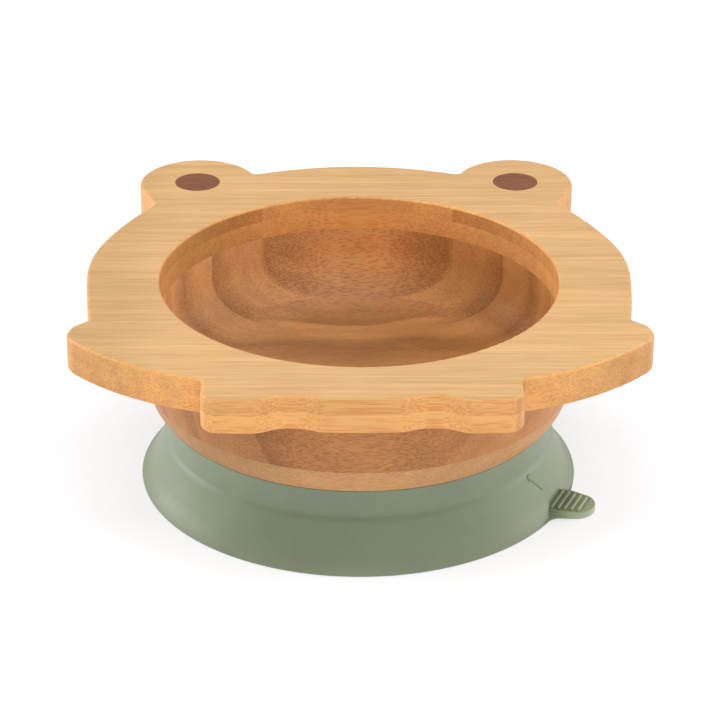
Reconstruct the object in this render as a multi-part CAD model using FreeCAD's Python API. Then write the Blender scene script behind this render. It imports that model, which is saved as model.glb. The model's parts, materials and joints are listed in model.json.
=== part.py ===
"""Suction bowl: a laminated bamboo bowl with an eared, plate-like rim on a silicone suction base.

Millimetres. The origin is on the bowl's axis at table level. +Z is up, +Y points at the two
ears, and -Y at the chin of the rim plate. The grain of every board and stave runs along X.
"""
import FreeCAD, Part
import math
import os

Vec = FreeCAD.Vector

# Driving dimensions: heights of the glue lines, from the table up
LIP_HEIGHT = 0.45           # edge of the suction lip
SKIRT_TOP = 15.0            # crease where the collar meets the skirt
SEAT_FLOOR = 19.5           # inside of the silicone cup, under the wood
COLLAR_TOP = 25.9
FOOT_STEP = 26.0            # wooden step that stands just over the collar
CAVITY_FLOOR = 30.5
FOOT_LINE = 34.45           # foot board to stave ring
PLATE_BOTTOM = 56.3         # stave ring to lower plate layer
PLATE_GLUE = 62.4           # lower to upper plate layer
PLATE_TOP = 67.75

# Radii about the bowl's axis
CAVITY_R = 62.4             # the opening is about 125 across
CAVITY_FILLET = 18.0        # wide inside corner between wall and floor
FOOT_R = 60.0               # plug that drops into the silicone cup
SEAT_R = 60.3               # the cup, 0.3 clear of the plug
FOOT_EDGE_R = 63.3          # lowest visible edge of the wood
FOOT_LINE_R = 67.15
WALL_TOP_R = 70.2
COLLAR_R = 63.0
CREASE_R = 60.8
SHOULDER_R = 61.9           # top of the skirt, just outside the crease
LIP_R = 69.6                # outer edge of the suction lip
SEAL_R = 64.8               # inner edge of the flat sealing ring
CHAMBER_TOP_R = 54.0

EDGE_ROUND = 1.2            # rounding along the plate's top and bottom edges
RIM_ROUND = 0.8             # rounding of the cavity's mouth

# Inlaid eye discs
EYE_X = 53.4
EYE_Y = 74.8
EYE_R = 7.5
EYE_DEPTH = 3.0

# Glue planes of the stave ring, y = constant, rear to front
REAR_PLANE = 54.0
FINE_PITCH = 13.7           # the two rear pairs
FINE_COUNT = 2
FRONT_PLANE = -61.5
COARSE_COUNT = 6            # pairs between the fine ones and the front stave

# Pull tab, laid out along a radius of the skirt
TAB_ANGLE = -23.0           # degrees from +X
TAB_ROOT = 70.2             # radius of the bend line
TAB_PAD_START = 66.4        # inner end of the flat pad on the skirt
TAB_END = 79.7
TAB_BOTTOM = 0.3
TAB_TOP = 2.5
TAB_HALF_WIDTH = 7.4
TAB_TIP_HALF_WIDTH = 6.2
TAB_SHOULDER = 76.0         # radius where the rounded tip starts
RIB_FIRST = 67.8
RIB_PITCH = 2.05
RIB_COUNT = 5
RIB_WIDTH = 0.6
RIB_HEIGHT = 0.35

# Right half of the rim plate's outline, from the back of the head round the ear, the
# temple and the cheek to the chin. A line has its end, an arc a point on it and its end,
# and a bend is an arc that leaves the side before it smoothly.
OUTLINE_START = (0.0, 88.9)
OUTLINE = [
    ("arc", (17.8, 87.0), (34.6, 81.9)),    # back of the head
    ("arc", (52.8, 94.6), (71.2, 67.8)),    # ear
    ("line", (67.0, 56.4)),                 # ear down to the temple notch
    ("arc", (75.5, 41.5), (81.4, 27.5)),    # temple
    ("bend", (85.2, 2.0)),
    ("bend", (82.2, -30.6)),                # side of the head
    ("line", (86.4, -34.4)),                # shoulder of the cheek
    ("arc", (88.2, -38.8), (86.3, -45.6)),  # cheek
    ("arc", (69.0, -60.7), (46.6, -70.6)),  # cheek in to the chin notch
    ("line", (46.9, -78.0)),                # side of the chin
    ("bend", (41.3, -83.5)),                # corner of the chin
    ("line", (33.5, -83.9)),                # front lobe
    ("bend", (27.8, -82.5)),
    ("bend", (14.3, -82.1)),                # shallow dip
    ("bend", (9.0, -83.2)),
    ("line", (0.0, -83.3)),                 # middle lobe
]
# Rounding of the outline's corners, by the x and y of each on the right half
CORNER_ROUNDS = [
    (34.6, 81.9, 1.8), (67.0, 56.4, 1.6), (82.2, -30.6, 1.6), (86.4, -34.4, 3.0),
    (46.6, -70.6, 1.8),
]


def arc(start, middle, end):
    return Part.Arc(Vec(*start), Vec(*middle), Vec(*end)).toShape()


def line(start, end):
    return Part.LineSegment(Vec(*start), Vec(*end)).toShape()


def revolve(profile):
    """Turn a closed profile about the Z axis.

    Each entry is (r, z) for a straight run to that point, or (r, z, r_mid, z_mid) for
    an arc to it through the middle point.
    """
    edges = []
    for here, there in zip(profile, profile[1:] + profile[:1]):
        start = (here[0], 0, here[1])
        end = (there[0], 0, there[1])
        if len(there) == 4:
            edges.append(arc(start, (there[2], 0, there[3]), end))
        else:
            edges.append(line(start, end))
    return Part.Face(Part.Wire(edges)).revolve(Vec(), Vec(0, 0, 1), 360)


def on_fillet(angle):
    """Point on the cavity's inside corner, angle in degrees below the horizontal."""
    turn = math.radians(angle)
    r = CAVITY_R - CAVITY_FILLET + CAVITY_FILLET * math.cos(turn)
    z = CAVITY_FLOOR + CAVITY_FILLET - CAVITY_FILLET * math.sin(turn)
    return r, z


def cavity():
    """The space inside the bowl, with a straight wall and a rounded inside corner."""
    return revolve([
        (0, CAVITY_FLOOR),
        (CAVITY_R - CAVITY_FILLET, CAVITY_FLOOR),
        (CAVITY_R, CAVITY_FLOOR + CAVITY_FILLET, *on_fillet(45)),
        (CAVITY_R, PLATE_TOP + 5),
        (0, PLATE_TOP + 5),
    ])


def bend(before, end):
    """The arc to a point that leaves the edge before it in that edge's own direction."""
    start = before.valueAt(before.LastParameter)
    heading = before.tangentAt(before.LastParameter)
    chord = end - start
    turn = heading.getAngle(chord)
    if heading.cross(chord).z < 0:
        turn = -turn
    across = Vec(-chord.y, chord.x, 0).normalize()
    middle = start + chord * 0.5 - across * (chord.Length / 2 * math.tan(turn / 2))
    return Part.Arc(start, middle, end).toShape()


def outline_edges(side, z):
    """One half of the outline at height z: side is 1 for the right and -1 for the left."""
    edges = []
    here = OUTLINE_START
    for kind, *steps in OUTLINE:
        points = [(side * x, y, z) for x, y in [here] + steps]
        if kind == "line":
            edges.append(line(*points))
        elif kind == "arc":
            edges.append(arc(*points))
        else:
            edges.append(bend(edges[-1], Vec(*points[-1])))
        here = steps[-1]
    return edges


def outline_wire(z):
    """The rim plate's outline at height z, mirrored about the plane x = 0."""
    return Part.Wire(Part.__sortEdges__(outline_edges(1, z) + outline_edges(-1, z)))


def vertical_edge(solid, x, y):
    for edge in solid.Edges:
        ends = [vertex.Point for vertex in edge.Vertexes]
        if len(ends) == 2 and all(math.hypot(p.x - x, p.y - y) < 0.01 for p in ends):
            return edge
    raise ValueError(f"no upright edge at {x}, {y}")


def plate_blank(bottom, top):
    """A board with the rim plate's outline, its corners rounded, before any hole."""
    blank = Part.Face(outline_wire(bottom)).extrude(Vec(0, 0, top - bottom))
    for x, y, radius in CORNER_ROUNDS:
        for side in (1, -1):
            blank = blank.makeFillet(radius, [vertical_edge(blank, side * x, y)])
    return blank


def edges_at(solid, z, radius=None):
    """Edges that lie flat at height z: all of them, or the circle of one radius."""
    found = []
    for edge in solid.Edges:
        box = edge.BoundBox
        flat = abs(box.ZMin - z) < 1e-4 and abs(box.ZMax - z) < 1e-4
        circle = isinstance(edge.Curve, Part.Circle) and edge.Curve.Center.Length < abs(z) + 1e-6
        if flat and (radius is None or (circle and abs(edge.Curve.Radius - radius) < 1e-4)):
            found.append(edge)
    return found


def disc(x, y, radius, bottom, top):
    return Part.makeCylinder(radius, top - bottom, Vec(x, y, bottom))


def eye(side):
    return disc(side * EYE_X, EYE_Y, EYE_R, PLATE_TOP - EYE_DEPTH, PLATE_TOP)


def plate_upper_layer():
    board = plate_blank(PLATE_GLUE, PLATE_TOP)
    board = board.makeFillet(EDGE_ROUND, edges_at(board, PLATE_TOP))
    board = board.cut(cavity())
    board = board.makeFillet(RIM_ROUND, edges_at(board, PLATE_TOP, CAVITY_R))
    for side in (1, -1):
        board = board.cut(eye(side))
    return board


def plate_lower_layer():
    board = plate_blank(PLATE_BOTTOM, PLATE_GLUE)
    board = board.makeFillet(EDGE_ROUND, edges_at(board, PLATE_BOTTOM))
    return board.cut(cavity())


def stave_ring():
    """The wall between the foot board and the rim plate, before it is split at its glue."""
    block = revolve([
        (0, FOOT_LINE),
        (FOOT_LINE_R, FOOT_LINE),
        (WALL_TOP_R, PLATE_BOTTOM, 69.2, 45.4),
        (0, PLATE_BOTTOM),
    ])
    return block.cut(cavity())


def glue_planes():
    """The y of each glue plane of the stave ring, rear to front."""
    planes = [REAR_PLANE - FINE_PITCH * i for i in range(FINE_COUNT + 1)]
    coarse = (planes[-1] - FRONT_PLANE) / COARSE_COUNT
    return planes + [planes[-1] - coarse * i for i in range(1, COARSE_COUNT + 1)]


def slab(y_low, y_high, x_low=-100.0, x_high=100.0):
    height = PLATE_TOP + 20
    return Part.makeBox(x_high - x_low, y_high - y_low, height, Vec(x_low, y_low, -10))


def staves():
    """One solid for each stave end that the cavity leaves: {node name: solid}."""
    ring = stave_ring()
    planes = glue_planes()
    pieces = {
        "stave_rear": ring.common(slab(planes[0], 100)),
        "stave_front": ring.common(slab(-100, planes[-1])),
    }
    for number, (high, low) in enumerate(zip(planes, planes[1:]), start=1):
        pieces[f"stave_right_{number}"] = ring.common(slab(low, high, x_low=0))
        pieces[f"stave_left_{number}"] = ring.common(slab(low, high, x_high=0))
    return pieces


def foot_board():
    """The bottom of the bowl: a board with a rounded lower edge and a plug for the cup."""
    board = revolve([
        (0, SEAT_FLOOR),
        (FOOT_R - 0.8, SEAT_FLOOR),
        (FOOT_R, SEAT_FLOOR + 0.8),
        (FOOT_R, FOOT_STEP),
        (FOOT_EDGE_R - 0.3, FOOT_STEP),
        (FOOT_EDGE_R, FOOT_STEP + 0.3),
        (FOOT_LINE_R, FOOT_LINE, 65.8, 30.0),
        (0, FOOT_LINE),
    ])
    return board.cut(cavity())


def silicone_collar():
    """The cup that grips the wooden plug, down to the crease."""
    return revolve([
        (0, SKIRT_TOP),
        (CREASE_R, SKIRT_TOP),
        (COLLAR_R, COLLAR_TOP - 0.3, 61.5, 20.0),
        (COLLAR_R - 0.3, COLLAR_TOP),
        (SEAT_R, COLLAR_TOP),
        (SEAT_R, SEAT_FLOOR),
        (0, SEAT_FLOOR),
    ])


def along_tab(shape):
    """Turn a shape laid out along +X to the tab's place."""
    return shape.rotate(Vec(), Vec(0, 0, 1), TAB_ANGLE)


def tab_block(start, end, bottom, top):
    """A straight block across the tab's full width, between two radii."""
    return Part.makeBox(end - start, 2 * TAB_HALF_WIDTH, top - bottom, Vec(start, -TAB_HALF_WIDTH, bottom))


def ribs(numbers):
    """Grip ribs across the tab, each let 0.2 into it and shorter near the tip."""
    shapes = []
    for number in numbers:
        middle = RIB_FIRST + RIB_PITCH * number
        half = 6.4 - 0.42 * number
        corner = Vec(middle - RIB_WIDTH / 2, -half, TAB_TOP - 0.2)
        shapes.append(Part.makeBox(RIB_WIDTH, 2 * half, RIB_HEIGHT + 0.2, corner))
    return shapes


def suction_skirt():
    """The flared, hollow suction cup with its flat sealing ring and the tab's pad."""
    skirt = revolve([
        (CHAMBER_TOP_R, SKIRT_TOP),
        (SHOULDER_R, SKIRT_TOP),
        (LIP_R - 0.2, LIP_HEIGHT + 0.5, 64.6, 7.2),
        (LIP_R, LIP_HEIGHT),
        (LIP_R, 0),
        (SEAL_R, 0),
        (CHAMBER_TOP_R, SKIRT_TOP - 1.8, 60.8, 8.2),
    ])
    above_pad = tab_block(TAB_PAD_START, LIP_R + 5, TAB_TOP, SKIRT_TOP - 3)
    skirt = skirt.cut(along_tab(above_pad))
    pad = tab_block(TAB_PAD_START, TAB_ROOT, TAB_BOTTOM, TAB_TOP)
    fixed_ribs = [number for number in range(RIB_COUNT) if RIB_FIRST + RIB_PITCH * number < TAB_ROOT]
    for extra in [pad] + ribs(fixed_ribs):
        skirt = skirt.fuse(along_tab(extra))
    return skirt.removeSplitter()


def pull_tab():
    """The tongue outside the bend line that peels the lip off the table."""
    corners = [
        (TAB_ROOT, -TAB_HALF_WIDTH, TAB_BOTTOM),
        (TAB_SHOULDER, -TAB_TIP_HALF_WIDTH, TAB_BOTTOM),
        (TAB_SHOULDER, TAB_TIP_HALF_WIDTH, TAB_BOTTOM),
        (TAB_ROOT, TAB_HALF_WIDTH, TAB_BOTTOM),
    ]
    outline = Part.Wire([
        line(corners[0], corners[1]),
        arc(corners[1], (TAB_END, 0, TAB_BOTTOM), corners[2]),
        line(corners[2], corners[3]),
        line(corners[3], corners[0]),
    ])
    tab = Part.Face(outline).extrude(Vec(0, 0, TAB_TOP - TAB_BOTTOM))
    moving_ribs = [number for number in range(RIB_COUNT) if RIB_FIRST + RIB_PITCH * number > TAB_ROOT]
    for rib in ribs(moving_ribs):
        tab = tab.fuse(rib)
    return along_tab(tab.removeSplitter())


def build():
    parts = {
        "plate_upper_layer": plate_upper_layer(),
        "plate_lower_layer": plate_lower_layer(),
        "eye_inlay_right": eye(1),
        "eye_inlay_left": eye(-1),
        "foot_board": foot_board(),
        "silicone_collar": silicone_collar(),
        "suction_skirt": suction_skirt(),
        "pull_tab": pull_tab(),
    }
    parts.update(staves())
    return parts


os.makedirs("parts", exist_ok=True)
for name, solid in build().items():
    if len(solid.Solids) != 1 or not solid.isValid():
        raise ValueError(f"{name}: {len(solid.Solids)} solids, valid {solid.isValid()}")
    solid.Solids[0].exportStep(f"parts/{name}.step")
    print(f"{name}: {solid.Volume / 1000:.2f} cm3")
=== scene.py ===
"""Suction bowl: looks, silicone shapes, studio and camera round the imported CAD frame.

Blender works in metres, in the frame of the CAD: Z up from the table, +Y towards the ears.
Shapes made here are laid out in millimetres, like the CAD, and scaled when they become meshes.
"""

import json
import math

import bmesh
import bpy
from mathutils import Matrix, Vector


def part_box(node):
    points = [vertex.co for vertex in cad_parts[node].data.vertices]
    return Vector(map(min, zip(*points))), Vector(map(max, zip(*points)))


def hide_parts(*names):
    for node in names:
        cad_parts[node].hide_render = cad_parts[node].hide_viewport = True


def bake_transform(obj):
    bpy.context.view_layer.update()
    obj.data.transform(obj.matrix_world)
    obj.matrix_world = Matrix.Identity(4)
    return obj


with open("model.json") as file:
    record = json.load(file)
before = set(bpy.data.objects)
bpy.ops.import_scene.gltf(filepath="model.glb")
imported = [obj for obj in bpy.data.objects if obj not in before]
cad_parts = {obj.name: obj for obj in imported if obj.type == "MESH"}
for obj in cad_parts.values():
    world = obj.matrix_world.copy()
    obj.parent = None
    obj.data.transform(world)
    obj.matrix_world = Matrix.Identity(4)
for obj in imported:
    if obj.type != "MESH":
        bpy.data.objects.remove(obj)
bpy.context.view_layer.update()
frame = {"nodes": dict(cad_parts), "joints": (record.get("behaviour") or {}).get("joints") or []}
NODES = frame["nodes"]
MM = 0.001


def box_mm(node):
    low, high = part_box(node)
    return low / MM, high / MM


# Heights and radii in mm. The frame gives all but the last two, the cavity's radius and the
# height of the tab's upper face.
SKIRT_TOP = box_mm("suction_skirt")[1].z
LIP_R = box_mm("suction_skirt")[1].y
COLLAR_TOP = box_mm("silicone_collar")[1].z
COLLAR_R = box_mm("silicone_collar")[1].x
PLUG_BOTTOM = box_mm("foot_board")[0].z
FOOT_LINE = box_mm("foot_board")[1].z
FOOT_LINE_R = box_mm("foot_board")[1].x
PLATE_BOTTOM = box_mm("plate_lower_layer")[0].z
PLATE_GLUE = box_mm("plate_upper_layer")[0].z
PLATE_TOP = box_mm("plate_upper_layer")[1].z
TAB_BOTTOM = box_mm("pull_tab")[0].z
CAVITY_R = 62.4
TAB_TOP = 2.5

# ---------------------------------------------------------------- node graphs


class Graph:
    """One material's node tree, with short calls that add a node and return its output."""

    def __init__(self, name):
        self.material = bpy.data.materials.new(name)
        self.material.use_nodes = True
        self.nodes = self.material.node_tree.nodes
        self.links = self.material.node_tree.links
        self.nodes.clear()
        self.place = self.node("ShaderNodeTexCoord").outputs["Object"]

    def node(self, kind, inputs=(), **settings):
        """A node with its settings, and its inputs given as (socket, value or output)."""
        made = self.nodes.new(kind)
        for key, value in settings.items():
            setattr(made, key, value)
        for socket, value in inputs:
            if isinstance(value, bpy.types.NodeSocket):
                self.links.new(value, made.inputs[socket])
            else:
                made.inputs[socket].default_value = value
        return made

    def math(self, operation, a, b=0.0):
        return self.node("ShaderNodeMath", [(0, a), (1, b)], operation=operation).outputs[0]

    def times(self, a, b):
        return self.math("MULTIPLY", a, b)

    def plus(self, a, b):
        return self.math("ADD", a, b)

    def minus(self, a, b):
        return self.math("SUBTRACT", a, b)

    def over(self, a, b):
        return self.math("DIVIDE", a, b)

    def larger(self, a, b):
        return self.math("MAXIMUM", a, b)

    def unsigned(self, a):
        return self.math("ABSOLUTE", a)

    def scaled(self, vector, x, y, z, offset=(0, 0, 0)):
        """A vector times (x, y, z), then moved by offset."""
        made = self.node("ShaderNodeVectorMath", [(0, vector), (1, (x, y, z)), (2, offset)],
                         operation="MULTIPLY_ADD")
        return made.outputs[0]

    def added(self, a, b):
        return self.node("ShaderNodeVectorMath", [(0, a), (1, b)], operation="ADD").outputs[0]

    def shrunk(self, vector, lengths):
        """A vector divided by three lengths, so that one step of a pattern is that long."""
        return self.scaled(vector, *(1 / length for length in lengths))

    def noise(self, vector, lengths, detail=2.0, roughness=0.5):
        """Noise whose features are about as long as lengths along x, y and z."""
        made = self.node("ShaderNodeTexNoise", [
            ("Vector", self.shrunk(vector, lengths)), ("Scale", 1.0), ("Detail", detail),
            ("Roughness", roughness)])
        return made.outputs[0]

    def spread(self, value, low, high, out_low, out_high, smooth=True):
        """Maps low..high to out_low..out_high, held at both ends."""
        kind = "SMOOTHSTEP" if smooth else "LINEAR"
        made = self.node("ShaderNodeMapRange", [
            ("Value", value), ("From Min", low), ("From Max", high), ("To Min", out_low),
            ("To Max", out_high)], interpolation_type=kind)
        return made.outputs[0]

    def ramp(self, value, stops):
        """A stepless ramp of grey tones: stops are (position, tone)."""
        made = self.node("ShaderNodeValToRGB", [(0, value)])
        ramp = made.color_ramp
        while len(ramp.elements) < len(stops):
            ramp.elements.new(1.0)
        for element, (position, tone) in zip(ramp.elements, stops):
            element.position = position
            element.color = (tone, tone, tone, 1)
        return made.outputs[0]

    def blend(self, factor, a, b, mode="MIX"):
        """Colour a turned towards colour b."""
        made = self.node("ShaderNodeMix", data_type="RGBA", blend_type=mode)
        for name, value in (("Factor_Float", factor), ("A_Color", a), ("B_Color", b)):
            socket = next(s for s in made.inputs if s.identifier == name)
            if isinstance(value, bpy.types.NodeSocket):
                self.links.new(value, socket)
            elif isinstance(value, tuple):
                socket.default_value = (*value, 1)
            else:
                socket.default_value = value
        return next(s for s in made.outputs if s.identifier == "Result_Color")

    def tinted(self, colour, tint):
        """A colour times another colour or a tone."""
        return self.blend(1.0, colour, tint, mode="MULTIPLY")

    def finish(self, colour, roughness, height, bump_mm, **constants):
        """Joins the shader: height is 0..1 and bump_mm is how deep it goes."""
        bump = self.node("ShaderNodeBump", [
            ("Height", height), ("Distance", bump_mm * MM), ("Strength", 1.0)])
        inputs = [("Base Color", colour), ("Roughness", roughness), ("Normal", bump.outputs[0])]
        inputs += [(name.replace("_", " "), value) for name, value in constants.items()]
        shader = self.node("ShaderNodeBsdfPrincipled", inputs)
        self.node("ShaderNodeOutputMaterial", [("Surface", shader.outputs[0])])
        return self.material


# ---------------------------------------------------------------- bamboo

# Colours are linear
PLATE_GROUND, PLATE_FIBRE = (0.75, 0.465, 0.213), (0.63, 0.297, 0.104)
BODY_GROUND, BODY_FIBRE = (0.74, 0.350, 0.135), (0.50, 0.195, 0.066)
FOOT_GROUND, FOOT_FIBRE = (0.72, 0.375, 0.160), (0.56, 0.265, 0.10)
INLAY_GROUND, INLAY_FIBRE = (0.27, 0.105, 0.054), (0.17, 0.062, 0.031)
NO_TINT = (1.0, 1.0, 1.0)
CUT_TINT = (1.26, 1.06, 0.82)       # upright cuts of the plate soak up more oil than its faces

# Fibre bundles, in mm: along the grain, then across a strip and through its thickness
PLATE_BUNDLE, BODY_BUNDLE = (18.0, 0.42, 0.50), (3.2, 0.40, 0.48)
PLATE_STREAK, BODY_STREAK = (45.0, 1.0, 0.6), (2.2, 0.5, 0.5)
# The block's left and right ends, on the outside of the bowl and in its cavity; inside, the left
# carries painted sheen, paler and bluer, and the right painted shade
LEFT_OUTSIDE, RIGHT_OUTSIDE = (1.04, 0.98, 0.88), (0.96, 0.89, 0.77)
LEFT_INSIDE_SHEEN, RIGHT_INSIDE_SHADE = (0.99, 1.06, 1.17), (0.91, 0.87, 0.75)
# Painted light in the cavity: its upright wall paler, as under a frontal key light, and its floor
# darker with painted shade
LIT_CAVITY_WALL, SHADED_CAVITY_FLOOR = (1.36, 1.41, 1.42), (0.75, 0.76, 0.74)
WAVE = 0.9                          # how far the grain wanders, mm
WAVE_SIZE = (70, 26, 26)            # and over what lengths
SEED_STEP = Vector((37.0, 11.3, 5.7))       # how far apart two seeds look in the noise
CLOUD_SIZE = (45, 18, 18)           # soft clouds of tone in the wood, mm
NOISE_RANGE = (0.3, 0.7)            # where nearly all of a noise's values lie


def axis_mm(graph, axis):
    """One of the object's coordinates in mm: 0, 1 or 2 for x, y or z."""
    parts = graph.node("ShaderNodeSeparateXYZ", [(0, graph.place)])
    return graph.times(parts.outputs[axis], 1 / MM)


def radius_mm(graph):
    """Distance from the bowl's axis in mm."""
    flat = graph.scaled(graph.place, 1 / MM, 1 / MM, 0)
    return graph.node("ShaderNodeVectorMath", [(0, flat)], operation="LENGTH").outputs["Value"]


def bump(graph, value, low, top, high):
    """0 up to low, 1 at top and 0 again from high on."""
    rise = graph.spread(value, low, top, 0.0, 1.0)
    return graph.times(rise, graph.spread(value, top, high, 1.0, 0.0))


def place_mm(graph, offset=(0, 0, 0)):
    """Object coordinates in mm."""
    return graph.scaled(graph.place, 1 / MM, 1 / MM, 1 / MM, offset)


def grain_place(graph, seed):
    """Object coordinates in mm, wandering a little across the grain."""
    place = place_mm(graph, tuple(SEED_STEP * seed))
    noise = graph.node("ShaderNodeTexNoise", [
        ("Vector", graph.shrunk(place, WAVE_SIZE)), ("Scale", 1.0), ("Detail", 2.0)])
    shift = graph.scaled(noise.outputs["Color"], 0, 2 * WAVE, 2 * WAVE, (0, -WAVE, -WAVE))
    return graph.added(place, shift)


def normal_parts(graph):
    """The x, y and z of the direction that the surface faces."""
    normal = graph.node("ShaderNodeNewGeometry").outputs["Normal"]
    return graph.node("ShaderNodeSeparateXYZ", [(0, normal)]).outputs


def noise_tone(graph, noise, low, high):
    """A noise as a value from low to high."""
    return graph.spread(noise, *NOISE_RANGE, low, high)


def fibre_bundles(graph, place, crowd, size):
    """1 in each cut bundle of fibres and 0 between them, larger where they crowd."""
    cells = graph.node("ShaderNodeTexVoronoi", [("Vector", graph.shrunk(place, size)), ("Scale", 1.0)])
    edge = graph.spread(crowd, 0.0, 1.0, 0.25, 0.60, smooth=False)
    reach = graph.minus(cells.outputs["Distance"], edge)
    return graph.spread(reach, -0.16, 0.14, 1.0, 0.0)


def upright_cuts(graph, colour, facing, cut, ends, turn):
    """The colour on upright cuts, tinted all over and darker on the ends that face -X and +X."""
    left_end = graph.spread(facing[0], -turn[1], -turn[0], ends[0], 1.0)
    right_end = graph.spread(facing[0], turn[0], turn[1], 1.0, ends[1])
    return graph.tinted(graph.tinted(colour, cut), graph.times(left_end, right_end))


def bamboo(name, ground, fibre, density, seed, tone=None, cut=NO_TINT, ends=(1.0, 1.0),
           turn=(0.1, 0.7), bundle_size=BODY_BUNDLE, streak_size=BODY_STREAK):
    """Fibre bundles along X in a paler ground.

    ground and fibre are colours, and density is 0..1, sparse to crowded bundles. Each is either the
    value itself or a function that makes the output in the graph. tone is such a function too, and
    darkens or lightens the whole. cut tints every upright cut, and ends is how dark the cuts across the
    grain are that face -X and +X: end grain, and on the staves painted shade as well. turn is how far a
    cut faces that way when it starts to darken and when it is fully dark.
    """
    graph = Graph(name)
    place = grain_place(graph, seed)
    ground, fibre, crowd = (v(graph) if callable(v) else v for v in (ground, fibre, density))
    bundle = fibre_bundles(graph, place, crowd, bundle_size)
    streak = graph.noise(place, streak_size, detail=5.0, roughness=0.6)
    band = graph.noise(place, (streak_size[0] * 9, 3.4, 7.0))
    cloud = graph.noise(place, CLOUD_SIZE)

    # On sanded faces, which look up or down, the bundles are fainter and the streaks stronger
    facing = normal_parts(graph)
    flat = graph.spread(graph.unsigned(facing[2]), 0.70, 0.98, 0.0, 1.0)
    share = graph.times(bundle, graph.spread(crowd, 0.0, 1.0, 0.72, 0.60, smooth=False))
    share = graph.plus(share, graph.times(crowd, 0.25))
    sanded = graph.spread(flat, 0.0, 1.0, 1.0, 0.55)
    colour = graph.blend(graph.times(share, sanded), ground, fibre)
    strength = graph.spread(flat, 0.0, 1.0, 0.05, 0.08)
    streaks = graph.times(noise_tone(graph, streak, -1.0, 1.0), strength)
    colour = graph.tinted(colour, graph.plus(streaks, 1.0))
    for noise, low, high in ((band, 0.94, 1.06), (cloud, 0.97, 1.03)):
        colour = graph.tinted(colour, noise_tone(graph, noise, low, high))
    if tone:
        colour = graph.tinted(colour, tone(graph))
    colour = graph.blend(flat, upright_cuts(graph, colour, facing, cut, ends, turn), colour)

    roughness = noise_tone(graph, streak, 0.42, 0.54)
    height = graph.plus(graph.times(bundle, -0.5), streak)
    return graph.finish(colour, roughness, height, 0.03, Specular_IOR_Level=0.22)


def cavity_wall(graph, share):
    """share on the plate's wall round the cavity, and 0 on the rest of the plate."""
    return graph.spread(radius_mm(graph), CAVITY_R + 0.9, CAVITY_R + 1.3, share, 0.0)


def rim_bundles_and_shade(graph):
    """How brown the plate's wall round the cavity is, in crowded bundles and in painted shade: most in
    the upper layer, in front of the rearmost strip, and less in the lower one behind the bowl's middle.
    """
    y, z = axis_mm(graph, 1), axis_mm(graph, 2)
    rear = strip_edges()[-1]
    rear_place = (rear + CAVITY_R) / (2 * CAVITY_R)
    place = graph.over(graph.plus(y, CAVITY_R), 2 * CAVITY_R)
    upper = graph.spread(z, PLATE_GLUE - 0.1, PLATE_GLUE + 0.1, 0.0, 1.0)
    below_edge = graph.spread(z, PLATE_TOP - 1.1, PLATE_TOP - 0.6, 1.0, 0.0)
    front = graph.ramp(place, [(0.0, 0.3), (0.55, 0.5), (rear_place - 0.002, 1.0),
                               (rear_place + 0.002, 0.0)])
    upper_share = graph.times(graph.times(upper, below_edge), front)
    lower_share = graph.times(graph.minus(1.0, upper), bump(graph, y, 4, 34, rear + 4))
    both = graph.plus(upper_share, graph.times(lower_share, 0.6))
    return graph.times(cavity_wall(graph, 1.0), both)


def plain_share(graph):
    """Where the plate's two layers look alike: at the cheeks and ears, and round the cavity."""
    far = graph.spread(graph.unsigned(axis_mm(graph, 0)), 44, 52, 0.0, 0.85)
    return graph.larger(far, cavity_wall(graph, 0.7))


def plate_density(graph):
    """Bundles crowd towards the lower side of each layer, or of the whole plate."""
    z = axis_mm(graph, 2)
    span = PLATE_TOP - PLATE_BOTTOM
    place = graph.over(graph.minus(z, PLATE_BOTTOM), span)
    glue = (PLATE_GLUE - PLATE_BOTTOM) / span
    crowd = graph.ramp(place, [(0.0, 0.70), (glue - 0.004, 0.20), (glue + 0.004, 0.80), (0.97, 0.35)])
    plain = graph.ramp(place, [(0.0, 0.75), (0.4, 0.45), (0.97, 0.35)])
    crowd = graph.blend(plain_share(graph), crowd, plain)
    return graph.larger(crowd, graph.times(rim_bundles_and_shade(graph), 0.9))


def plate_tone(graph):
    """The lower layer is a little paler and the left end deeper; the cavity's upper wall is darkened
    with painted shade.
    """
    above = graph.minus(axis_mm(graph, 2), PLATE_GLUE)
    layers = graph.spread(above, -0.1, 0.1, 1.05, 0.97)
    layers = graph.blend(plain_share(graph), layers, (1.01, 1.01, 1.01))
    top = graph.spread(axis_mm(graph, 2), PLATE_TOP - 0.4, PLATE_TOP - 0.1, 0.0, 1.0)
    layers = graph.larger(layers, top)
    left = graph.spread(axis_mm(graph, 0), -80, -55, 0.88, 1.0)
    layers = graph.times(layers, left)
    # Painted shade on the plate's wall round the cavity
    return graph.times(layers, graph.spread(rim_bundles_and_shade(graph), 0.0, 1.0, 1.0, 0.80))


def strip_edges():
    """The y of each glue plane of the stave ring, front to rear, in mm."""
    lows = [box_mm(name)[0].y for name in NODES if name.startswith("stave_right_")]
    return sorted(lows + [box_mm("stave_rear")[0].y])


def strip_stops(edges, half):
    """How crowded the bundles are from front to rear, as stops on a ramp from -half to half.

    Each glue plane has the crowded side of the strip behind it, and what the strip in front
    of it has thinned out to. At the foremost plane and at plane 6 both sides are crowded.
    """
    stops = [(0.0, 0.05)]
    for index, edge in enumerate(edges):
        place = (edge + half) / (2 * half)
        front_crowd = {0: 0.95, 6: 0.75}.get(index, 0.20)
        rear_crowd = 0.80 if index >= 6 else 0.58
        stops += [(place - 0.0012, front_crowd), (place + 0.0012, rear_crowd)]
        if index + 1 < len(edges):
            step = (edges[index + 1] - edge) / (2 * half)
            stops.append((place + 0.5 * step, 0.22))
    return stops + [(1.0, 0.05)]


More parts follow.
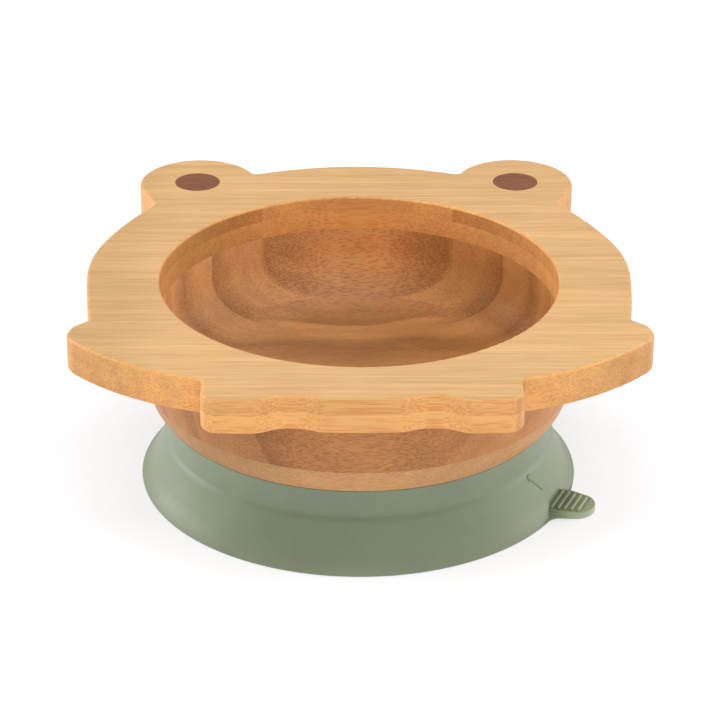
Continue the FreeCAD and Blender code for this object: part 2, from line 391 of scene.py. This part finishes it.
def strip_density(graph):
    """Each strip's bundles crowd on one side and thin out towards the other.

    The rear strip is barer in its middle, and the front ones towards the right. The strips
    ahead of the rear one are fuller where the wall runs out into the floor.
    """
    edges = strip_edges()
    half = FOOT_LINE_R + 8
    x, y, z = (axis_mm(graph, axis) for axis in range(3))
    aside = graph.unsigned(x)
    crowd = graph.ramp(graph.over(graph.plus(y, half), 2 * half), strip_stops(edges, half))

    bare = graph.spread(aside, 6.0, 18.0, 0.40, 0.0)
    rear = graph.times(graph.spread(y, edges[-1] - 0.2, edges[-1] + 0.2, 0.0, 1.0),
                       graph.spread(z, FOOT_LINE, 44, 0.3, 1.0))
    front = graph.times(graph.spread(y, -20, 0, 1.0, 0.0), graph.spread(x, 14, 28, 0.0, 0.5))
    thinned = graph.times(graph.minus(1.0, graph.times(bare, rear)), graph.minus(1.0, front))

    ahead = graph.times(graph.spread(y, 26, 33, 0.0, 1.0), graph.spread(z, FOOT_LINE, 43, 1.0, 0.0))
    low = graph.times(ahead, graph.spread(aside, 14, 34, 0.42, 0.0))
    return graph.times(graph.larger(crowd, low), thinned)


FLOOR_REACH = 60.0                  # from the bowl's axis to the end of the floor's ramp, mm


def floor_density(graph):
    """The strips run on across the cavity's floor, with edges that wander near its middle."""
    x = axis_mm(graph, 0)
    wander = graph.times(bump(graph, x, 2, 20, 40), 4.5)
    wander = graph.plus(wander, graph.times(bump(graph, x, -40, -21, -2), 2.5))
    y = graph.minus(axis_mm(graph, 1), wander)
    middle = graph.ramp(graph.over(y, FLOOR_REACH), [
        (0.0, 0.05), (0.20, 0.30), (0.34, 0.80), (0.44, 0.85), (0.53, 0.10), (0.67, 0.05),
        (0.690, 0.75), (0.82, 0.60), (0.90, 0.55)])
    aside = graph.spread(graph.unsigned(x), 18, 40, 0.0, 1.0)
    return graph.blend(aside, middle, strip_density(graph))


def tone_by(density, inner_r):
    """The tone of the bowl's body, whose cavity lies within inner_r.

    Crowded sides of the strips are darker all over, and the right half a little deeper. Inside the bowl
    the upright wall is paler with painted light and the floor darker with painted shade; the left inner
    wall is paler and bluer with painted sheen and the right one deeper with painted shade.
    """
    def make(graph):
        crowd = graph.spread(density(graph), 0.0, 1.0, 1.06, 0.68, smooth=False)
        side = graph.spread(axis_mm(graph, 0), -45, 45, 0.0, 1.0)
        level = graph.spread(normal_parts(graph)[2], 0.0, 1.0, 0.0, 1.0, smooth=False)
        # Painted light and shade inside: wall paler, floor darker, left wall paler and bluer with
        # painted sheen, right wall deeper
        inside = graph.tinted(graph.blend(side, LEFT_INSIDE_SHEEN, RIGHT_INSIDE_SHADE),
                              graph.blend(level, LIT_CAVITY_WALL, SHADED_CAVITY_FLOOR))
        inner = graph.spread(radius_mm(graph), inner_r, inner_r + 1.0, 1.0, 0.0)
        both = graph.blend(inner, graph.blend(side, LEFT_OUTSIDE, RIGHT_OUTSIDE), inside)
        return graph.tinted(both, crowd)
    return make


FLOOR_R = FOOT_LINE_R - 8.5         # the cavity's floor ends inside this, mm


def inside_or_outside(inside, outside):
    """A value for the cavity's floor and another for the rim of the foot board."""
    def make(graph):
        share = graph.spread(radius_mm(graph), FLOOR_R, FLOOR_R + 0.5, 0.0, 1.0)
        both = [v(graph) if callable(v) else v for v in (inside, outside)]
        return graph.blend(share, *both)
    return make


def paint(material, *nodes):
    for name in nodes:
        slots = NODES[name].data.materials
        slots.clear()
        slots.append(material)


def paint_wood():
    staves = [name for name in NODES if name.startswith("stave_")]
    plate = ("plate_upper_layer", "plate_lower_layer")
    inlays = ("eye_inlay_left", "eye_inlay_right")
    paint(bamboo("bamboo_plate", PLATE_GROUND, PLATE_FIBRE, plate_density, 1, plate_tone,
                 cut=CUT_TINT, ends=(0.84, 0.72), turn=(0.35, 0.7),
                 bundle_size=PLATE_BUNDLE, streak_size=PLATE_STREAK), *plate)
    # The staves' ends are darkened for end grain and with painted shade, where the plate shadows the
    # bowl's sides
    paint(bamboo("bamboo_stave", BODY_GROUND, BODY_FIBRE, strip_density, 2,
                 tone_by(strip_density, CAVITY_R + 1), ends=(0.66, 0.82)), *staves)
    foot = [inside_or_outside(*pair) for pair in (
        (BODY_GROUND, FOOT_GROUND), (BODY_FIBRE, FOOT_FIBRE), (floor_density, (0.35, 0.35, 0.35)),
        (tone_by(floor_density, FLOOR_R), NO_TINT))]
    paint(bamboo("bamboo_foot", foot[0], foot[1], foot[2], 2, foot[3], ends=(0.70, 0.86)), "foot_board")
    paint(bamboo("dark_inlay", INLAY_GROUND, INLAY_FIBRE, 0.5, 4), *inlays)


# ---------------------------------------------------------------- silicone

SILICONE, DUST = (0.228, 0.278, 0.180), (0.62, 0.66, 0.55)
CLOUDING, TOOTH, SPECKS = (22, 22, 22), (0.5, 0.5, 0.5), (1.3, 1.3, 1.3)      # their sizes, mm
RING_STEPS = 288                    # divisions round the revolved shapes
SEAT_R = COLLAR_R - 2.7             # inside of the cup
SEAL_R = LIP_R - 4.8                # inner edge of the flat sealing ring

# Outside of the silicone from the collar's rim down to the lip, as (r, z): the waist, the
# small shoulder where the skirt starts, and the skirt's flare
OUTSIDE = [
    (COLLAR_R, COLLAR_TOP - 0.2), (62.3, 22.6), (61.6, 19.8), (61.2, 17.9), (61.12, 16.8),
    (61.3, 15.9), (61.7, 15.2), (62.15, 14.3), (62.65, 12.8), (63.5, 10.4), (64.7, 7.6), (65.8, 5.2),
    (67.1, 3.1), (68.5, 1.5), (LIP_R, 0.5),
]
# The chamber under the skirt, from the sealing ring in to its roof
CHAMBER = [(SEAL_R, 0.0), (60.8, 8.2), (54.0, 13.4), (44.0, SKIRT_TOP)]

HINGE = Vector(next(j for j in frame["joints"] if j["name"] == "tab_lift")["pos_m"]) / MM
TAB_ROOT = HINGE.xy.length
TAB_ANGLE = math.atan2(HINGE.y, HINGE.x)
PAD_START = TAB_ROOT - 3.8
PAD_HALF = 7.4                      # half width of the tab at its root
TAB_SHOULDER = TAB_ROOT + 5.8
TIP_CENTRE, TIP_R = TAB_ROOT + 3.0, 6.8     # the tip's arc
ROUND = 0.7                         # rounding along the tab's upper edge
BORDER = 1.0                        # plain edge beside the ribbed field
FIELD_DEPTH = 0.4                   # how far the ground between the ribs is let in
FIELD_END = TAB_ROOT + 7.2
WEB_TOP = 0.95                      # height of the thin web that joins tab and lip
WEB_EDGE = 0.15                     # bevel along the web and under the tab
FACET = 0.12                        # first facet of a small rounded edge
NARROWING = 1.2                     # how much the tab's half width shrinks from root to shoulder
# The web's outer edge beside the tab, from the pad out to the shoulder, as (x, y)
WEB_OUTLINE = [(PAD_START, PAD_HALF), (67.4, PAD_HALF + 0.4), (68.1, 13.4), (68.8, 10.8), (69.6, 9.2),
               (70.6, 8.2), (71.8, 7.7), (73.4, 7.2), (TAB_SHOULDER, PAD_HALF - NARROWING)]
RIB_COUNT, RIB_FIRST, RIB_PITCH, RIB_R = 5, TAB_ROOT - 2.4, 2.05, 0.5
RIB_HALF, RIB_TAPER = 5.9, 0.42     # half length of the first rib, and how much each next one loses
RIB_LIFT = 0.05                     # how far a rib's middle stands over the tab's upper face
ARROW_R, ARROW_BEDDED = 0.36, 0.05  # the arrow's line, and how far its middle lies in the skirt
SHARP_ANGLE = 38                    # edges that turn by more degrees stay sharp


def spline(points, per_span=6):
    """A smooth line through the points, without overshoot at its two ends."""
    line = []
    ends = [points[0]] + list(points) + [points[-1]]
    for a, b, c, d in zip(ends, ends[1:], ends[2:], ends[3:]):
        for step in range(per_span):
            t = step / per_span
            line.append(tuple(
                0.5 * (2 * q + (r - p) * t + (2 * p - 5 * q + 4 * r - s) * t * t
                       + (3 * q - p - 3 * r + s) * t ** 3)
                for p, q, r, s in zip(a, b, c, d)))
    return line + [tuple(points[-1])]


def radius_at(line, z):
    """The r of an (r, z) line at a height."""
    for (r_a, z_a), (r_b, z_b) in zip(line, line[1:]):
        low, high = sorted((z_a, z_b))
        if low <= z <= high and high > low:
            return r_a + (r_b - r_a) * (z - z_a) / (z_b - z_a)
    raise ValueError(f"{z} is off the line")


def new_object(name, mesh_builder):
    """An object from a bmesh in mm."""
    shape = bmesh.new()
    mesh_builder(shape)
    bmesh.ops.transform(shape, matrix=Matrix.Scale(MM, 4), verts=shape.verts)
    bmesh.ops.recalc_face_normals(shape, faces=shape.faces)
    mesh = bpy.data.meshes.new(name)
    shape.to_mesh(mesh)
    shape.free()
    made = bpy.data.objects.new(name, mesh)
    bpy.context.scene.collection.objects.link(made)
    return made


def smooth(obj):
    obj.data.shade_smooth()
    obj.data.set_sharp_from_angle(angle=math.radians(SHARP_ANGLE))


def bridge(shape, loop_a, loop_b):
    """Quads between two closed loops of vertices of the same length."""
    for i in range(len(loop_a)):
        j = (i + 1) % len(loop_a)
        shape.faces.new((loop_a[i], loop_a[j], loop_b[j], loop_b[i]))


def revolve(shape, profile):
    """Turns (r, z) points about Z. The first and last points lie on the axis."""
    rings = []
    for r, z in profile[1:-1]:
        ring = []
        for step in range(RING_STEPS):
            turn = 2 * math.pi * step / RING_STEPS
            ring.append(shape.verts.new((r * math.cos(turn), r * math.sin(turn), z)))
        rings.append(ring)
    for ring_a, ring_b in zip(rings, rings[1:]):
        bridge(shape, ring_a, ring_b)
    for (r, z), ring in ((profile[0], rings[0]), (profile[-1], rings[-1])):
        middle = shape.verts.new((0, 0, z))
        for i in range(RING_STEPS):
            shape.faces.new((middle, ring[i], ring[(i + 1) % RING_STEPS]))


def base_profile():
    """The cup, collar, skirt, lip and chamber in one line from axis to axis."""
    cup = [(0, PLUG_BOTTOM), (30, PLUG_BOTTOM), (SEAT_R - 0.7, PLUG_BOTTOM),
           (SEAT_R - 0.2, PLUG_BOTTOM + 0.2), (SEAT_R, PLUG_BOTTOM + 0.7),
           (SEAT_R, COLLAR_TOP - 0.4), (SEAT_R + 0.12, COLLAR_TOP - 0.12),
           (SEAT_R + 0.4, COLLAR_TOP), (COLLAR_R - 0.15, COLLAR_TOP),
           (COLLAR_R - 0.04, COLLAR_TOP - 0.05)]
    lip = [(LIP_R - 0.05, 0.15), (LIP_R - 0.25, 0.0)]
    roof = [(20, SKIRT_TOP), (0, SKIRT_TOP)]
    return cup + spline(OUTSIDE) + lip + spline(CHAMBER) + roof


def ridge(shape, points, radius, sides=10):
    """A raised rib: a round bar along the points, with rounded ends."""
    points = [Vector(p) for p in points]
    first, last = (points[1] - points[0]).normalized(), (points[-1] - points[-2]).normalized()
    caps = ((0.98, 0.2), (0.7, 0.7))        # how far out, and how thick, in radii
    stations = [(points[0] - first * radius * out, share) for out, share in caps]
    stations += [(p, 1.0) for p in points]
    stations += [(points[-1] + last * radius * out, share) for out, share in reversed(caps)]
    rings = []
    for i, (middle, share) in enumerate(stations):
        ahead = stations[min(i + 1, len(stations) - 1)][0] - stations[max(i - 1, 0)][0]
        side = ahead.cross(Vector((0, 0, 1))).normalized()
        over = side.cross(ahead).normalized()
        ring = []
        for step in range(sides):
            turn = 2 * math.pi * step / sides
            offset = (side * math.cos(turn) + over * math.sin(turn)) * radius * share
            ring.append(shape.verts.new(middle + offset))
        rings.append(ring)
    for ring_a, ring_b in zip(rings, rings[1:]):
        bridge(shape, ring_a, ring_b)
    shape.faces.new(rings[0])
    shape.faces.new(rings[-1])


def on_skirt(angle, z):
    """A point just under the outside of the silicone, angle in degrees from +X."""
    r = radius_at(spline(OUTSIDE), z) - ARROW_BEDDED
    turn = math.radians(angle)
    return r * math.cos(turn), r * math.sin(turn), z


def arrow_mark(shape):
    """A plain arrow moulded up the skirt beside the tab, as (angle, z) lines."""
    foot, head, barb_low, barb_high = (-27.6, 8.0), (-32.9, 14.6), (-32.6, 13.0), (-31.2, 14.4)
    steps = 6
    for start, end in ((foot, head), (head, barb_low), (head, barb_high)):
        line = []
        for step in range(steps + 1):
            t = step / steps
            angle, z = (a + (b - a) * t for a, b in zip(start, end))
            line.append(on_skirt(angle, z))
        ridge(shape, line, ARROW_R, sides=8)


def tab_cutter(shape):
    """The room over the tab's pad: a nearly upright wall round its inner end and its sides."""
    height, corner, steps = 8.0, 3.0, 8
    bottom, half, open_end = TAB_TOP - 0.15, PAD_HALF - 0.6, TAB_ROOT + 6
    outline = [(open_end, half)]
    for side, first in ((1, 90), (-1, 180)):
        for step in range(steps + 1):
            turn = math.radians(first + 90 * step / steps)
            outline.append((PAD_START + corner + corner * math.cos(turn),
                            side * (half - corner) + corner * math.sin(turn)))
    outline.append((open_end, -half))
    rings = []
    for level in (0.0, height):         # each mm up, it leans 0.05 mm inwards and widens by 2 %
        rings.append([shape.verts.new((x - 0.05 * level, y * (1 + 0.02 * level), bottom + level))
                      for x, y in outline])
    bridge(shape, *rings)
    for ring in rings:
        shape.faces.new(ring)
    bmesh.ops.remove_doubles(shape, verts=shape.verts, dist=0.001)
    bmesh.ops.rotate(shape, verts=shape.verts, matrix=Matrix.Rotation(TAB_ANGLE, 3, "Z"))


def silicone_base():
    """Cup, collar and skirt in one soft piece, with the recess that the tab's pad fills."""
    base = new_object("silicone_base", lambda shape: revolve(shape, base_profile()))
    cutter = new_object("cutter", tab_cutter)
    cut = base.modifiers.new("recess", "BOOLEAN")
    cut.object, cut.operation, cut.solver = cutter, "DIFFERENCE", "EXACT"
    evaluated = base.evaluated_get(bpy.context.evaluated_depsgraph_get())
    mesh = bpy.data.meshes.new_from_object(evaluated)
    base.modifiers.clear()
    base.data = mesh
    bpy.data.objects.remove(cutter)
    marks = new_object("marks", arrow_mark)
    shape = bmesh.new()
    shape.from_mesh(mesh)
    shape.from_mesh(marks.data)
    shape.to_mesh(mesh)
    shape.free()
    bpy.data.objects.remove(marks)
    smooth(base)
    return base


def tab_sections():
    """Half sections across the tab from the pad to the tip.

    Each is (x, half width with the web, half width of the tongue itself).
    """
    sections = []
    for x, width in spline(WEB_OUTLINE, per_span=4)[:-1]:
        share = max(0.0, (x - TAB_ROOT) / (TAB_SHOULDER - TAB_ROOT))
        side = PAD_HALF - NARROWING * share
        sections.append((x, max(width, side), side))
    start = math.acos((TAB_SHOULDER - TIP_CENTRE) / TIP_R)
    steps = 14
    for step in range(steps):
        turn = start * (1 - step / steps)
        x, y = TIP_CENTRE + TIP_R * math.cos(turn), TIP_R * math.sin(turn)
        sections.append((x, y, y))
    return sections


def tab_half_outline(x, width, side):
    """One half of a section, as (y, z) from the ribbed field round to the underside.

    The smallest half widths keep the points apart where the tip closes.
    """
    web = width - side
    sunk = TAB_TOP - (FIELD_DEPTH if PAD_START < x < FIELD_END else 0.0)
    return [
        (max(side - BORDER - 0.3, 0.005), sunk), (max(side - BORDER, 0.01), TAB_TOP),
        (max(side - ROUND, 0.02), TAB_TOP), (max(side - FACET, 0.01), TAB_TOP - FACET),
        (side, TAB_TOP - ROUND), (side + 0.12 * web, 0.5 * (TAB_TOP - ROUND) + 0.5 * WEB_TOP),
        (side + 0.45 * web, WEB_TOP + FACET), (width, WEB_TOP - WEB_EDGE),
        (width, TAB_BOTTOM + WEB_EDGE), (max(width - WEB_EDGE, 0.01), TAB_BOTTOM),
    ]


def tab_mesh(shape):
    """The tongue with its pad, the web at its root and the grip ribs."""
    rows = []
    for section in tab_sections():
        half = tab_half_outline(*section)
        loop = half + [(-y, z) for y, z in reversed(half)]
        rows.append([shape.verts.new((section[0], y, z)) for y, z in loop])
    for row_a, row_b in zip(rows, rows[1:]):
        bridge(shape, row_a, row_b)
    shape.faces.new(rows[0])
    shape.faces.new(rows[-1])
    ribs(shape)
    bmesh.ops.rotate(shape, verts=shape.verts, matrix=Matrix.Rotation(TAB_ANGLE, 3, "Z"))


def ribs(shape):
    """The grip ribs across the tab, each a little shorter towards the tip."""
    steps = 12
    for number in range(RIB_COUNT):
        x, half = RIB_FIRST + RIB_PITCH * number, RIB_HALF - RIB_TAPER * number
        line = [(x, -half + 2 * half * step / steps, TAB_TOP + RIB_LIFT) for step in range(steps + 1)]
        ridge(shape, line, RIB_R)


def silicone_material():
    """Matt moulded silicone: faint clouding, a fine tooth, dust, and painted light that makes the tab
    paler past the lip, where it stands out of the plate's shade.
    """
    graph = Graph("silicone")
    place = place_mm(graph)
    cloud = graph.noise(place, CLOUDING, detail=4.0)
    tooth = graph.noise(place, TOOTH, detail=3.0)
    specks = graph.noise(place, SPECKS, detail=0.0)
    colour = graph.tinted(SILICONE, noise_tone(graph, cloud, 0.95, 1.05))
    colour = graph.tinted(colour, noise_tone(graph, tooth, 0.98, 1.02))
    # Painted light: up to 1.75 times paler from the lip out over the tab, for the light it catches out
    # from under the plate
    colour = graph.tinted(colour, graph.spread(radius_mm(graph), LIP_R - 0.5, LIP_R + 6, 1.0, 1.75))
    colour = graph.blend(graph.spread(specks, 0.80, 0.88, 0.0, 0.07), colour, DUST)
    roughness = noise_tone(graph, cloud, 0.49, 0.57)
    return graph.finish(colour, roughness, tooth, 0.03, Sheen_Weight=0.10, Sheen_Roughness=0.5)


def make_silicone():
    """The silicone base and tab as meshes with one material, in place of the CAD's collar, skirt and
    tab.
    """
    material = silicone_material()
    base = silicone_base()
    tab = new_object("silicone_tab", tab_mesh)
    smooth(tab)
    for piece in (base, tab):
        piece.data.materials.clear()
        piece.data.materials.append(material)
    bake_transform(base)
    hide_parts("silicone_collar", "suction_skirt")
    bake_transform(tab)
    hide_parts("pull_tab")


# ---------------------------------------------------------------- studio

FLOOR_SIZE = 40.0                   # m
FLOOR_TONES = (0.385, 0.405, 0.435), (0.405, 0.425, 0.455)
FLOOR_CLOUD = (1 / 3, 1 / 3, 1 / 3)         # m
FLOOR_GAP = 0.05                    # mm under the sealing ring, so that the two faces don't meet
WORLD_LIGHT = 0.30
FLOOR_GLOW = 0.63
AIM = Vector((0, 0, 0.03))          # m, what the softboxes point at
# name, place, width, height and power of each softbox, all aimed at the bowl
SOFTBOXES = [
    ("light_top", (0.0, -0.38, 1.29), 1.0, 0.7, 8.8),
    ("light_left", (-1.22, 0.42, 0.38), 0.7, 0.6, 12.8),
    ("light_right", (1.22, 0.42, 0.40), 0.7, 0.6, 10.3),
    ("light_front", (0.35, -0.98, 0.95), 0.5, 0.5, 2.2),
]


def make_floor():
    """A plain white table, bright enough to read as white all over."""
    def square(shape):
        bmesh.ops.create_grid(shape, x_segments=1, y_segments=1, size=FLOOR_SIZE / 2 / MM)
    floor = new_object("floor", square)
    floor.location.z = -FLOOR_GAP * MM
    graph = Graph("floor_white")
    cloud = graph.noise(graph.place, FLOOR_CLOUD)
    colour = graph.blend(noise_tone(graph, cloud, 0.0, 1.0), *FLOOR_TONES)
    floor.data.materials.append(graph.finish(
        colour, noise_tone(graph, cloud, 0.75, 0.85), cloud, 0.01,
        Emission_Color=(1, 1, 1, 1), Emission_Strength=FLOOR_GLOW))


def make_lights():
    world = bpy.data.worlds.new("studio")
    bpy.context.scene.world = world
    world.use_nodes = True
    background = world.node_tree.nodes["Background"]
    background.inputs["Color"].default_value = (1, 1, 1, 1)
    background.inputs["Strength"].default_value = WORLD_LIGHT
    for name, place, width, height, power in SOFTBOXES:
        lamp = bpy.data.lights.new(name, "AREA")
        lamp.shape, lamp.size, lamp.size_y, lamp.energy = "RECTANGLE", width, height, power
        made = bpy.data.objects.new(name, lamp)
        made.location = place
        made.rotation_euler = (AIM - made.location).to_track_quat("-Z", "Y").to_euler()
        made.visible_camera = False
        bpy.context.scene.collection.objects.link(made)


CAMERA_LENS, CAMERA_SENSOR = 142.5, 36.0
CAMERA_UP, CAMERA_TURN, CAMERA_ROLL = (math.radians(angle) for angle in (26.714, 0.857, 0.293))
CAMERA_DISTANCE = 904.67            # mm from the point that it looks at
CAMERA_AIM = Vector((0.389, 0, 38.361))     # that point, mm


def make_camera():
    """The camera stands in front of the chin, 26.7 degrees up and a hair to the left."""
    data = bpy.data.cameras.new("camera")
    data.lens, data.sensor_width = CAMERA_LENS, CAMERA_SENSOR
    camera = bpy.data.objects.new("camera", data)
    bpy.context.scene.collection.objects.link(camera)
    back = Vector((0, -math.cos(CAMERA_UP), math.sin(CAMERA_UP)))
    level_right, level_up = Vector((1, 0, 0)), Vector((0, math.sin(CAMERA_UP), math.cos(CAMERA_UP)))
    right = level_right * math.cos(CAMERA_ROLL) + level_up * math.sin(CAMERA_ROLL)
    up = level_up * math.cos(CAMERA_ROLL) - level_right * math.sin(CAMERA_ROLL)
    axes = Matrix((right, up, back)).transposed().to_4x4()
    place = Matrix.Translation((CAMERA_AIM + back * CAMERA_DISTANCE) * MM)
    camera.matrix_world = Matrix.Rotation(-CAMERA_TURN, 4, "Z") @ place @ axes
    bpy.context.scene.camera = camera


bpy.context.scene.view_settings.view_transform = "Standard"
bpy.context.scene.view_settings.look = "None"
paint_wood()
make_silicone()
make_floor()
make_lights()
make_camera()
